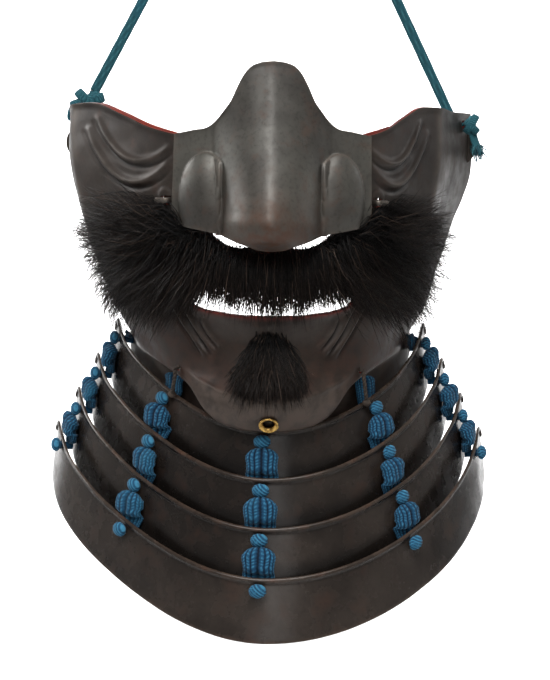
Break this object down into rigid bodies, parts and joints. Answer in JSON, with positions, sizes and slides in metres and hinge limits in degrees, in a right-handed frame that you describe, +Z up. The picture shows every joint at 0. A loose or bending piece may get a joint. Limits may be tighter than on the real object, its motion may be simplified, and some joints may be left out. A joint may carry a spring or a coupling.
{
  "type": "samurai face guard",
  "caption": "Lacquered iron face guard with a lift-off nose, hair moustache and chin tuft, blue-laced throat plates and the cord that it hangs by.",
  "frame": {"origin": "the point of the hook that the hanging cord lies on; the guard hangs below it, turned as in the picture", "axes": "-Y the way the face looks, +X to the right seen from the front, +Z up"},
  "size_m": [0.1908, 0.1251, 0.3584],
  "materials": {
    "russet_iron": "dark russet iron, semi-matte, red lacquer inside",
    "pin_iron": "worn iron",
    "hair": "coarse dark brown-black hair",
    "eyelet_brass": "polished brass",
    "lame_lacquer": "dark brown-black lacquer, satin",
    "lace_braid": "blue silk braid",
    "thong_hide": "twisted hide thong",
    "cord_braid": "teal flat woven cord"
  },
  "bodies": {
    "root": {"face_plate": "russet_iron", "nose_piece": "russet_iron", "nose_pin_left": "pin_iron", "nose_pin_right": "pin_iron", "moustache": "hair", "chin_tuft": "hair", "drain_eyelet": "eyelet_brass", "lame_1": "lame_lacquer", "lame_2": "lame_lacquer", "lame_3": "lame_lacquer", "lame_4": "lame_lacquer", "lace_r1_c1": "lace_braid", "lace_r1_c2": "lace_braid", "lace_r1_c3": "lace_braid", "lace_r1_c4": "lace_braid", "lace_r1_c5": "lace_braid", "lace_r2_c1": "lace_braid", "lace_r2_c2": "lace_braid", "lace_r2_c3": "lace_braid", "lace_r2_c4": "lace_braid", "lace_r2_c5": "lace_braid", "lace_r3_c1": "lace_braid", "lace_r3_c2": "lace_braid", "lace_r3_c3": "lace_braid", "lace_r3_c4": "lace_braid", "lace_r3_c5": "lace_braid", "lace_r4_c1": "lace_braid", "lace_r4_c2": "lace_braid", "lace_r4_c3": "lace_braid", "lace_r4_c4": "lace_braid", "lace_r4_c5": "lace_braid", "thong_left": "thong_hide", "thong_right": "thong_hide", "hanging_cord": "cord_braid", "cord_knot_left": "cord_braid", "cord_knot_right": "cord_braid"}
  },
  "joints": []
}
